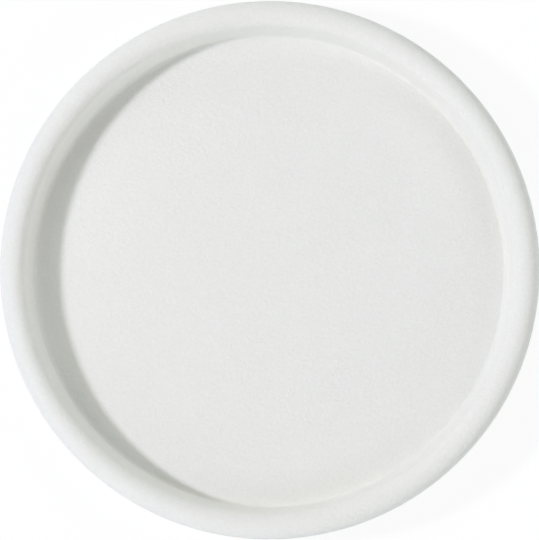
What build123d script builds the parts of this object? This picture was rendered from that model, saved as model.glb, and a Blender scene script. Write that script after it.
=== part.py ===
from build123d import *

import os
from math import cos, radians, sin, tan

# A round candle plate. One fired dish, with a full-round rim, a leaning wall and a shallow well for the
# candle, stands on felt feet. Each foot is a felt disc on an adhesive film, stuck inside the foot ring.
# The plate's axis is Z, and the table that it stands on is at Z = 0.

# Driving dimensions of the dish, in millimetres and degrees
plate_diameter = 120.0  # across the rim at its widest
wall_thickness = 6.0  # the rim is a full round on this thickness
wall_lean = 12.0  # the wall leans outwards from upright by this angle
well_depth = 8.4  # from the crest of the rim down to the floor
well_corner_radius = 0.5  # tight hollow corner where the floor turns up into the wall
floor_thickness = 4.6  # from the floor down to the recess under it
heel_radius = 4.0  # rounded corner between the wall and the foot ring
foot_ring_width = 4.0  # flat, bare ring that the dish is fired on
recess_depth = 1.0  # how far the underside is sunk inside the foot ring
recess_edge_radius = 0.4  # softened edges on both sides of the recess's short wall

# Driving dimensions of the feet, in millimetres and degrees
foot_count = 4
foot_diameter = 10.0
foot_to_ring_gap = 3.0  # clear space between a foot and the foot ring around it
first_foot_angle = 45.0  # the first foot, counted from +X towards +Y
felt_thickness = 1.8
felt_edge_radius = 0.3  # worn edge of the felt, where it meets the table
film_thickness = 0.2
film_margin = 0.25  # the film is cut this much inside the felt's outline

# Heights above the table
recess_z = felt_thickness + film_thickness
ring_z = recess_z - recess_depth
floor_z = recess_z + floor_thickness
crest_z = floor_z + well_depth

# Corners of the dish's section, as (distance from the axis, height)
rim_radius = wall_thickness / 2
rim_centre = Vector(plate_diameter / 2 - rim_radius, crest_z - rim_radius)
across_wall = Vector(cos(radians(wall_lean)), -sin(radians(wall_lean)))
rim_outside = rim_centre + across_wall * rim_radius
rim_inside = rim_centre - across_wall * rim_radius
inward_per_drop = tan(radians(wall_lean))
well_corner = Vector(rim_inside.X - (rim_inside.Y - floor_z) * inward_per_drop, floor_z)
heel_corner = Vector(rim_outside.X - (rim_outside.Y - ring_z) * inward_per_drop, ring_z)

# The heel's round takes this much of the underside, and the flat of the foot ring starts there
half_heel_angle = radians(90 + wall_lean) / 2
ring_radius = heel_corner.X - heel_radius / tan(half_heel_angle)
recess_radius = ring_radius - foot_ring_width
recess_foot = Vector(recess_radius, ring_z)
recess_corner = Vector(recess_radius, recess_z)

# Two softened edges share the recess's short wall, so neither takes up half of it
largest_share_of_wall = 0.45
recess_round = min(recess_edge_radius, recess_depth * largest_share_of_wall)

# The feet stand on a circle inside the recess
foot_circle_radius = recess_radius - foot_to_ring_gap - foot_diameter / 2
film_diameter = foot_diameter - 2 * film_margin

os.makedirs("parts", exist_ok=True)


# Dish: one section, from the axis over the floor, wall and rim and back under the foot, turned about Z
with BuildPart() as dish:
    with BuildSketch(Plane.XZ) as section:
        with BuildLine():
            Polyline((0, recess_z), (0, floor_z), well_corner, rim_inside)
            CenterArc(rim_centre, rim_radius, -wall_lean, 180)
            Polyline(rim_outside, heel_corner, recess_foot, recess_corner, (0, recess_z))
        make_face()
        fillet(section.vertices().sort_by_distance(well_corner)[0], well_corner_radius)
        fillet(section.vertices().sort_by_distance(heel_corner)[0], heel_radius)
        recess_edges = section.vertices().filter_by_position(Axis.X, recess_radius, recess_radius)
        fillet(recess_edges, recess_round)
    revolve(axis=Axis.Z)
dish.part.label = "dish"
export_step(dish.part, "parts/dish.step")


# Feet: a felt disc on the table and an adhesive film between it and the dish, at each place
foot_places = PolarLocations(foot_circle_radius, foot_count, first_foot_angle)
for number, place in enumerate(foot_places, start=1):
    with BuildPart() as felt_foot:
        with BuildSketch(Plane.XY):
            with Locations(place):
                Circle(foot_diameter / 2)
        extrude(amount=felt_thickness)
        fillet(felt_foot.edges().group_by(Axis.Z)[0], felt_edge_radius)
    felt_foot.part.label = f"felt_foot_{number}"
    export_step(felt_foot.part, f"parts/felt_foot_{number}.step")

    with BuildPart() as adhesive_film:
        with BuildSketch(Plane.XY.offset(felt_thickness)):
            with Locations(place):
                Circle(film_diameter / 2)
        extrude(amount=film_thickness)
    adhesive_film.part.label = f"adhesive_film_{number}"
    export_step(adhesive_film.part, f"parts/adhesive_film_{number}.step")
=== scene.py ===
from math import atan2, cos, pi, radians, sin, tan

import bmesh
import bpy
from mathutils import Matrix, Vector


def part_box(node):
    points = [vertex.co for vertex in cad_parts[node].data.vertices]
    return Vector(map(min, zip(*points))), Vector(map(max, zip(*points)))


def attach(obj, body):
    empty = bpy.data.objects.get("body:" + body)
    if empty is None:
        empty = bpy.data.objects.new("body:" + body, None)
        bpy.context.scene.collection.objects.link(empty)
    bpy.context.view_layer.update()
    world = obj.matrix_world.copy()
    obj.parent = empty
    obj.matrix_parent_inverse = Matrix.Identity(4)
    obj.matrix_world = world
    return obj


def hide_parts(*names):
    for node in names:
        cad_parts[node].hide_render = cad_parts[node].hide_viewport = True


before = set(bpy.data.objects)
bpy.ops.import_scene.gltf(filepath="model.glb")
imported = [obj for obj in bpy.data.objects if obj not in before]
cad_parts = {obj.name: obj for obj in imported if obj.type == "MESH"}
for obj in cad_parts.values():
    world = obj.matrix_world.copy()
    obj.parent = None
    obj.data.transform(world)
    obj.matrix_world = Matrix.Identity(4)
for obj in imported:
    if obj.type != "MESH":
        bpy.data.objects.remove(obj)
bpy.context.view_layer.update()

# A matte white candle plate of fired stoneware. It stands on felt discs that are stuck under it.
# Lengths are in metres. Angles are in radians, apart from the places of the lamps, which are in degrees.
# The plate's axis is Z, and the table is at Z = 0.

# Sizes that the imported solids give
dish_low, dish_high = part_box("dish")
plate_radius = max(dish_high.x, dish_high.y)
crest_z = dish_high.z
ring_z = dish_low.z
recess_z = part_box("adhesive_film_1")[1].z
feet = [node for node in sorted(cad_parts) if node.startswith("felt_foot")]
films = [node for node in sorted(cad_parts) if node.startswith("adhesive_film")]

# Sizes of the dish's section. The well's corner is rounder than in the bare clay: glaze has run into it.
wall_thickness = 0.006
wall_lean = radians(12)
well_depth = 0.0084
well_corner_radius = 0.001
heel_radius = 0.004
foot_ring_width = 0.004
recess_edge_radius = 0.0004
rim_radius = wall_thickness / 2

# The wall's inner face: where it leaves the rim, how far it drops, and where it would meet the floor
wall_top_reach = plate_radius - rim_radius - rim_radius * cos(wall_lean)
wall_drop = well_depth - rim_radius + rim_radius * sin(wall_lean)
well_corner_reach = wall_top_reach - wall_drop * tan(wall_lean)

# How finely the dish is turned: rings on straight runs and close to their ends, steps of rounds, and sides
floor_rings = 16
wall_rings = 6
foot_rings = 4
hold_width = 0.00025
arc_step = radians(7)
dish_sides = 320
merge_distance = 1e-6

# Felt discs: worn lower edge, grain of the mesh, and how deep the surface is sunk between matted lumps
felt_sides = 64
felt_edge_radius = 0.0003
felt_edge_segments = 4
felt_grain = 0.0002
felt_lump = 0.0006
felt_sink = 0.00012

# Wool: curled fibres, the noise values at which they are darkest and palest, and wider clumps
fibre_width = 0.0004
fibre_curl = 2.5
fibre_layers = 6
fibre_height = 0.00016
fibre_dark = 0.36
fibre_pale = 0.64
fibre_share = 0.7
clump_width = 0.0015
clump_layers = 3

# Glaze: sandy grain, specks and faint clouds of colour, and patches with more or less sheen
grain_width = 0.0009
grain_height = 0.00013
fine_grain_width = 0.0004
fine_grain_height = 0.00008
speck_width = 0.0006
speck_layers = 1
cloud_width = 0.009
cloud_layers = 4
cloud_share = 0.2
sheen_patch_width = 0.003

# Painted shade in the well's corner, as a darker glaze: how far it reaches in over the floor and out with
# the wall
corner_shade_on_floor = 0.0012
corner_shade_on_wall = 0.0003

# Bare foot ring: how far above it the glaze stops, how far that line wanders, and the grain of the clay
glaze_stop = 0.00035
glaze_stop_wander = 0.0003
glaze_stop_wave = 0.005
glaze_thickness = 0.00015
clay_grain_width = 0.0006
clay_layers = 4

# Adhesive film: cloudy patches
film_cloud_width = 0.0012
film_cloud_layers = 3

# Roughness and how far it varies, strength of the plain reflection, and the felt's pale fuzz
glaze_roughness = 0.65
glaze_roughness_spread = 0.2
clay_roughness = 0.9
felt_roughness = 0.95
film_roughness = 0.4
film_roughness_spread = 0.2
glaze_reflection = 0.25
felt_reflection = 0.1
felt_fuzz = 0.3

# Colours. The table's tint is what it lends to the light on the plate: where it is seen, it is white.
sandy_glaze = (0.757, 0.757, 0.728, 1)
white_glaze = (0.843, 0.843, 0.812, 1)
# Darker glaze colour for the painted shade in the well's corner
painted_corner_shade = (0.768, 0.768, 0.729, 1)
bare_clay = (0.62, 0.55, 0.46, 1)
pale_clay = (0.71, 0.65, 0.56, 1)
felt_wool = (0.26, 0.245, 0.22, 1)
pale_wool = (0.58, 0.555, 0.51, 1)
film_clear = (0.80, 0.78, 0.70, 1)
film_cloudy = (0.74, 0.72, 0.63, 1)
table_tint = (0.74, 0.79, 0.84, 1)
white = (1, 1, 1, 1)

# Stage: side of the table and share of its glow, and how wide, how far and of which colour the lamps are
table_side = 12
table_glow = 0.9
key_width = radians(7)
key_distance = 3.5
soft_width = radians(30)
daylight = (0.9, 0.89, 1)
cool_light = (0.79, 0.92, 1)
blue_light = (0.7, 0.82, 1)
warm_light = (1, 0.94, 0.8)
plain_light = (1, 0.96, 0.9)

# Camera: nearly straight above the plate, which fills the picture
picture_pixels = 540
plate_pixels = 539.6
camera_distance = 1.0
camera_side = Vector((0.02, -0.07, 1)).normalized()
camera_aim = Vector((0, -0.0002, crest_z - rim_radius))
sensor_size = 36

# Middle of a noise's values
noise_middle = 0.5

# Sockets of the node that mixes colours. They go by number, because their names repeat.
mix_share = 0
mix_first = 6
mix_second = 7
mix_result = 2


# Shader nodes


class Socket:
    """A shader value. Arithmetic on it adds Math nodes."""

    def __init__(self, nodes, socket):
        self.nodes = nodes
        self.socket = socket

    def output(self, name):
        """Another output of the same node."""
        return Socket(self.nodes, self.socket.node.outputs[name])

    def maths(self, operation, first, second):
        return self.nodes.add("ShaderNodeMath", {"operation": operation}, {0: first, 1: second})

    def __add__(self, other):
        return self.maths("ADD", self, other)

    def __radd__(self, other):
        return self.maths("ADD", other, self)

    def __sub__(self, other):
        return self.maths("SUBTRACT", self, other)

    def __rsub__(self, other):
        return self.maths("SUBTRACT", other, self)

    def __mul__(self, other):
        return self.maths("MULTIPLY", self, other)

    def __rmul__(self, other):
        return self.maths("MULTIPLY", other, self)


class Nodes:
    """The nodes of a material or of the world."""

    def __init__(self, owner):
        owner.use_nodes = True
        self.tree = owner.node_tree
        self.tree.nodes.clear()

    def add(self, kind, settings, inputs):
        """Add a node, with its settings first and then the values or links of its sockets."""
        node = self.tree.nodes.new(kind)
        for name, value in settings.items():
            setattr(node, name, value)
        for name, value in inputs.items():
            if isinstance(value, Socket):
                self.tree.links.new(value.socket, node.inputs[name])
            else:
                node.inputs[name].default_value = value
        return Socket(self, node.outputs[0]) if node.outputs else None

    def noise(self, place, width, layers=2, curl=0):
        """Noise with lumps about this wide, and this many layers of finer lumps on them."""
        inputs = {"Vector": place, "Scale": 1 / width, "Detail": layers, "Distortion": curl}
        return self.add("ShaderNodeTexNoise", {}, inputs)

    def mix_colours(self, share, first, second):
        """The first colour where the share is 0, and the second where it is 1."""
        inputs = {mix_share: share, mix_first: first, mix_second: second}
        return self.add("ShaderNodeMix", {"data_type": "RGBA"}, inputs).output(mix_result)

    def mix_shaders(self, share, first, second):
        """The first shader where the share is 0, and the second where it is 1."""
        return self.add("ShaderNodeMixShader", {}, {0: share, 1: first, 2: second})

    def ramp(self, value, start, end, first, last):
        """A soft change from the first result to the last, while the value goes from start to end."""
        inputs = {"Value": value, "From Min": start, "From Max": end, "To Min": first, "To Max": last}
        return self.add("ShaderNodeMapRange", {"interpolation_type": "SMOOTHSTEP"}, inputs)

    def relief(self, height):
        """A surface raised by this height, in metres."""
        return self.add("ShaderNodeBump", {}, {"Height": height, "Distance": 1, "Strength": 1})

    def surface(self, **sockets):
        """A Principled shader as the material's surface. Underscores in the names stand for spaces."""
        inputs = {name.replace("_", " "): value for name, value in sockets.items()}
        shader = self.add("ShaderNodeBsdfPrincipled", {}, inputs)
        self.add("ShaderNodeOutputMaterial", {}, {"Surface": shader})


def place_on_piece(nodes):
    """Where on the piece a point is."""
    return nodes.add("ShaderNodeTexCoord", {}, {}).output("Object")


def reach_and_height(nodes, place):
    """How far from the plate's axis, and how far above the table."""
    parts = nodes.add("ShaderNodeSeparateXYZ", {}, {"Vector": place})
    flat = nodes.add("ShaderNodeCombineXYZ", {}, {"X": parts.output("X"), "Y": parts.output("Y")})
    reach = nodes.add("ShaderNodeVectorMath", {"operation": "LENGTH"}, {0: flat}).output("Value")
    return reach, parts.output("Z")


def seen_directly(nodes):
    """1 for what the camera, a reflection or a clear piece shows, and 0 for light between surfaces."""
    path = nodes.add("ShaderNodeLightPath", {}, {})
    return path.output("Is Camera Ray") + path.output("Is Glossy Ray") + path.output("Is Transmission Ray")


# Finishes


def glazed_stoneware():
    """A dry, matte white glaze with a sandy grain, wiped off the foot ring, where the clay is bare."""
    material = bpy.data.materials.new("glazed_stoneware")
    nodes = Nodes(material)
    place = place_on_piece(nodes)
    reach, height = reach_and_height(nodes, place)

    wander = (nodes.noise(place, glaze_stop_wave) - noise_middle) * glaze_stop_wander
    stop_low = ring_z + glaze_stop - glaze_thickness / 2
    bare = nodes.ramp(height + wander, stop_low, stop_low + glaze_thickness, 1, 0)
    # Painted shade: the glaze colour turns darker in the well's corner, where the floor meets the wall
    corner_shade_in = nodes.ramp(reach, well_corner_reach - corner_shade_on_floor, well_corner_reach, 0, 1)
    corner_shade_out = nodes.ramp(reach, well_corner_reach, well_corner_reach + corner_shade_on_wall, 1, 0)

    clouds = nodes.noise(place, cloud_width, cloud_layers) * cloud_share
    specks = nodes.noise(place, speck_width, speck_layers) * (1 - cloud_share)
    thin_colour = nodes.mix_colours(specks + clouds, sandy_glaze, white_glaze)
    glaze_colour = nodes.mix_colours(corner_shade_in * corner_shade_out, thin_colour, painted_corner_shade)
    clay_grain = nodes.noise(place, clay_grain_width, clay_layers)
    clay_colour = nodes.mix_colours(clay_grain, bare_clay, pale_clay)

    grain = nodes.noise(place, grain_width) * grain_height
    fine_grain = nodes.noise(place, fine_grain_width) * fine_grain_height
    sheen_patches = (nodes.noise(place, sheen_patch_width) - noise_middle) * glaze_roughness_spread
    nodes.surface(
        Base_Color=nodes.mix_colours(bare, glaze_colour, clay_colour),
        Roughness=glaze_roughness + sheen_patches + bare * (clay_roughness - glaze_roughness),
        Specular_IOR_Level=glaze_reflection,
        Normal=nodes.relief(grain + fine_grain - bare * glaze_thickness),
    )
    return material


def wool_felt():
    """Pressed grey-brown wool with matted fibres."""
    material = bpy.data.materials.new("wool_felt")
    nodes = Nodes(material)
    place = place_on_piece(nodes)
    matting = nodes.noise(place, fibre_width, fibre_layers, fibre_curl)
    fibres = nodes.ramp(matting, fibre_dark, fibre_pale, 0, 1)
    clumps = nodes.noise(place, clump_width, clump_layers)
    paleness = fibres * fibre_share + clumps * (1 - fibre_share)
    nodes.surface(
        Base_Color=nodes.mix_colours(paleness, felt_wool, pale_wool),
        Roughness=felt_roughness,
        Specular_IOR_Level=felt_reflection,
        Sheen_Weight=felt_fuzz,
        Normal=nodes.relief(matting * fibre_height),
    )
    return material


def adhesive_film():
    """A thin yellowish film with a cloudy, slightly glossy face."""
    material = bpy.data.materials.new("adhesive_film")
    nodes = Nodes(material)
    clouds = nodes.noise(place_on_piece(nodes), film_cloud_width, film_cloud_layers)
    nodes.surface(
        Base_Color=nodes.mix_colours(clouds, film_clear, film_cloudy),
        Roughness=film_roughness + (clouds - noise_middle) * film_roughness_spread,
    )
    return material


# Pieces


def deselect_all():
    bpy.ops.object.select_all(action="DESELECT")


def finish_piece(piece, name, node, material):
    """Name a modelled piece, dress it, and let it stand for its solid."""
    piece.name = name
    piece.data.name = name
    piece.data.materials.clear()
    piece.data.materials.append(material)
    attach(piece, "root")
    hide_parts(node)


def section_point(reach, height):
    """A point of the dish's section, which is drawn on the XZ plane."""
    return Vector((reach, 0, height))


def section_end(mesh):
    """Where the selected end of the drawn section is."""
    return next(vertex.co.copy() for vertex in bmesh.from_edit_mesh(mesh).verts if vertex.select)


def draw_straight(mesh, end, rings):
    """Extrude the section's end in a straight run, with a ring close to each end to hold the shading."""
    start = section_end(mesh)
    hold = hold_width / (end - start).length
    shares = [hold + (1 - 2 * hold) * ring / rings for ring in range(rings + 1)]
    here = start
    for share in shares + [1]:
        place = start.lerp(end, share)
        bpy.ops.mesh.extrude_vertices_move(TRANSFORM_OT_translate={"value": place - here})
        here = place


def draw_round(centre, turn):
    """Spin the section's end about a centre, anticlockwise for a positive turn."""
    steps = round(abs(turn) / arc_step)
    bpy.ops.mesh.spin(steps=steps, angle=turn, center=centre, axis=(0, 1, 0))


def turned_dish():
    """The fired body: its section, from the axis over floor, wall and rim and back under, spun about Z."""
    up = section_point(0, 1)
    across_wall = section_point(cos(wall_lean), -sin(wall_lean))
    corner_turn = pi / 2 - wall_lean
    corner_cut = tan(corner_turn / 2)
    floor_z = crest_z - well_depth
    floor_edge = section_point(well_corner_reach - well_corner_radius * corner_cut, floor_z)
    rim_centre = section_point(plate_radius - rim_radius, crest_z - rim_radius)
    rim_inside = rim_centre - across_wall * rim_radius
    rim_outside = rim_centre + across_wall * rim_radius
    heel_corner_reach = rim_outside.x - (rim_outside.z - ring_z) * tan(wall_lean)
    heel_centre = section_point(heel_corner_reach - heel_radius * corner_cut, ring_z + heel_radius)
    recess_radius = heel_centre.x - foot_ring_width
    ring_inside = section_point(recess_radius + recess_edge_radius, ring_z)
    recess_edge = section_point(recess_radius - recess_edge_radius, recess_z)
    recess_wall = recess_z - ring_z - 2 * recess_edge_radius

    deselect_all()
    bpy.ops.mesh.primitive_plane_add(size=hold_width, location=(0, 0, floor_z))
    bpy.ops.object.transform_apply(location=True)
    piece = bpy.context.object
    bpy.ops.object.mode_set(mode="EDIT")
    bpy.ops.mesh.merge(type="CENTER")
    draw_straight(piece.data, floor_edge, floor_rings)
    draw_round(floor_edge + up * well_corner_radius, corner_turn)
    draw_straight(piece.data, rim_inside, wall_rings)
    draw_round(rim_centre, -pi)
    draw_straight(piece.data, heel_centre + across_wall * heel_radius, wall_rings)
    draw_round(heel_centre, -corner_turn)
    draw_straight(piece.data, ring_inside, foot_rings)
    draw_round(ring_inside + up * recess_edge_radius, -pi / 2)
    bpy.ops.mesh.extrude_vertices_move(TRANSFORM_OT_translate={"value": up * recess_wall})
    draw_round(recess_edge - up * recess_edge_radius, pi / 2)
    draw_straight(piece.data, section_point(0, recess_z), floor_rings)
    bpy.ops.mesh.select_all(action="SELECT")
    bpy.ops.mesh.spin(steps=dish_sides, angle=2 * pi, center=(0, 0, 0), axis=(0, 0, 1))
    bpy.ops.mesh.select_all(action="SELECT")
    bpy.ops.mesh.remove_doubles(threshold=merge_distance)
    bpy.ops.mesh.normals_make_consistent(inside=False)
    bpy.ops.object.mode_set(mode="OBJECT")
    bpy.ops.object.shade_smooth()
    return piece


def felt_disc(node):
    """A disc cut from felt, with a worn lower edge and a matted, slightly uneven surface."""
    low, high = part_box(node)
    centre = (low + high) / 2
    deselect_all()
    bpy.ops.mesh.primitive_cylinder_add(
        vertices=felt_sides, radius=(high.x - low.x) / 2, depth=high.z - low.z, location=centre)
    bpy.ops.object.transform_apply(location=True)
    piece = bpy.context.object
    bpy.ops.object.mode_set(mode="EDIT")
    bpy.ops.mesh.select_mode(type="EDGE")
    bpy.ops.mesh.select_all(action="DESELECT")
    cage = bmesh.from_edit_mesh(piece.data)
    for edge in cage.edges:
        edge.select_set(all(vertex.co.z < centre.z for vertex in edge.verts))
    bmesh.update_edit_mesh(piece.data)
    bpy.ops.mesh.bevel(offset=felt_edge_radius, segments=felt_edge_segments)
    bpy.ops.object.mode_set(mode="OBJECT")

    remesh = piece.modifiers.new("remesh", "REMESH")
    remesh.mode = "VOXEL"
    remesh.voxel_size = felt_grain
    bpy.ops.object.modifier_apply(modifier=remesh.name)

    # With the middle at 1 the surface only sinks, and stays inside the disc's box
    matting = bpy.data.textures.new("matting", "CLOUDS")
    matting.noise_scale = felt_lump
    displace = piece.modifiers.new("matting", "DISPLACE")
    displace.texture = matting
    displace.texture_coords = "LOCAL"
    displace.strength = felt_sink
    displace.mid_level = 1
    bpy.ops.object.modifier_apply(modifier=displace.name)
    bpy.ops.object.shade_smooth()
    return piece


def angle_about_axis(node):
    """The angle at which a piece stands about the plate's axis."""
    low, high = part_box(node)
    return atan2(low.y + high.y, low.x + high.x)


def turned_copy(piece, turn):
    """A copy with its own mesh, turned about the plate's axis."""
    deselect_all()
    piece.select_set(True)
    bpy.context.view_layer.objects.active = piece
    bpy.ops.object.duplicate()
    copy = bpy.context.object
    copy.rotation_euler.z = turn
    bpy.ops.object.transform_apply(rotation=True)
    return copy


# Stage


def white_world():
    """White where it is seen, and no light of its own."""
    world = bpy.data.worlds.new("studio")
    bpy.context.scene.world = world
    nodes = Nodes(world)
    unlit = nodes.add("ShaderNodeBackground", {}, {"Color": white, "Strength": 0})
    bright = nodes.add("ShaderNodeBackground", {}, {"Color": white, "Strength": 1})
    mixed = nodes.mix_shaders(seen_directly(nodes), unlit, bright)
    nodes.add("ShaderNodeOutputWorld", {}, {"Surface": mixed})


def pale_table():
    """A plain table, seen as white with the plate's soft shadow on it."""
    deselect_all()
    bpy.ops.mesh.primitive_plane_add(size=table_side)
    piece = bpy.context.object
    piece.name = "table"
    material = bpy.data.materials.new("pale_table")
    nodes = Nodes(material)
    matte = nodes.add("ShaderNodeBsdfDiffuse", {}, {"Color": table_tint})
    shaded = nodes.add("ShaderNodeBsdfDiffuse", {}, {"Color": white})
    glow = nodes.add("ShaderNodeEmission", {}, {"Color": white, "Strength": 1})
    shown = nodes.mix_shaders(table_glow, shaded, glow)
    mixed = nodes.mix_shaders(seen_directly(nodes), matte, shown)
    nodes.add("ShaderNodeOutputMaterial", {}, {"Surface": mixed})
    piece.data.materials.append(material)


def lamp_side(azimuth, elevation):
    """Towards a lamp. Azimuth is counted from the right of the picture towards its top, in degrees."""
    side = radians(azimuth)
    rise = radians(elevation)
    return Vector((cos(side) * cos(rise), sin(side) * cos(rise), sin(rise)))


def key_lamp(azimuth, elevation, strength, colour):
    """A round lamp a few steps away, as strong on the plate as a distant lamp of this strength."""
    side = lamp_side(azimuth, elevation)
    turn = side.to_track_quat("Z", "Y").to_euler()
    bpy.ops.object.light_add(type="AREA", location=side * key_distance, rotation=turn)
    light = bpy.context.object
    light.name = "key"
    light.data.shape = "DISK"
    light.data.size = 2 * key_distance * tan(key_width / 2)
    light.data.energy = pi * key_distance ** 2 * strength
    light.data.color = colour


def soft_lamp(name, azimuth, elevation, strength, colour):
    """A wide, distant lamp."""
    turn = lamp_side(azimuth, elevation).to_track_quat("Z", "Y").to_euler()
    bpy.ops.object.light_add(type="SUN", rotation=turn)
    light = bpy.context.object
    light.name = name
    light.data.angle = soft_width
    light.data.energy = strength
    light.data.color = colour


def picture_camera():
    """The camera, turned so that the picture's top is towards +Y."""
    right = Vector((0, 1, 0)).cross(camera_side).normalized()
    upward = camera_side.cross(right)
    turn = Matrix((right, upward, camera_side)).transposed()
    place = camera_aim + camera_side * camera_distance
    bpy.ops.object.camera_add(location=place, rotation=turn.to_euler())
    camera = bpy.context.object
    picture_width = 2 * plate_radius * picture_pixels / plate_pixels
    camera.data.sensor_width = sensor_size
    camera.data.lens = sensor_size * camera_distance / picture_width
    bpy.context.scene.camera = camera


# The plate

finish_piece(turned_dish(), "turned_dish", "dish", glazed_stoneware())
felt = wool_felt()
first_disc = felt_disc(feet[0])
for node in feet[1:]:
    disc = turned_copy(first_disc, angle_about_axis(node) - angle_about_axis(feet[0]))
    finish_piece(disc, "matted_" + node, node, felt)
finish_piece(first_disc, "matted_" + feet[0], feet[0], felt)
film = adhesive_film()
for node in films:
    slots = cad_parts[node].data.materials
    slots.clear()
    slots.append(film)

# The stage around it

white_world()
pale_table()
key_lamp(azimuth=180.2, elevation=42, strength=1.88, colour=daylight)
soft_lamp("left_high", azimuth=165, elevation=45, strength=0.62, colour=warm_light)
soft_lamp("right_high", azimuth=30, elevation=45, strength=0.44, colour=warm_light)
soft_lamp("front_high", azimuth=285, elevation=45, strength=0.4, colour=warm_light)
soft_lamp("right", azimuth=330, elevation=32, strength=0.55, colour=blue_light)
soft_lamp("back", azimuth=90, elevation=32, strength=0.6, colour=cool_light)
soft_lamp("front_left", azimuth=225, elevation=32, strength=0.42, colour=cool_light)
soft_lamp("front", azimuth=255, elevation=20, strength=0.13, colour=blue_light)
soft_lamp("back_low", azimuth=60, elevation=8, strength=0.78, colour=plain_light)
soft_lamp("front_low", azimuth=300, elevation=8, strength=0.96, colour=plain_light)
picture_camera()
bpy.context.scene.view_settings.view_transform = "Standard"
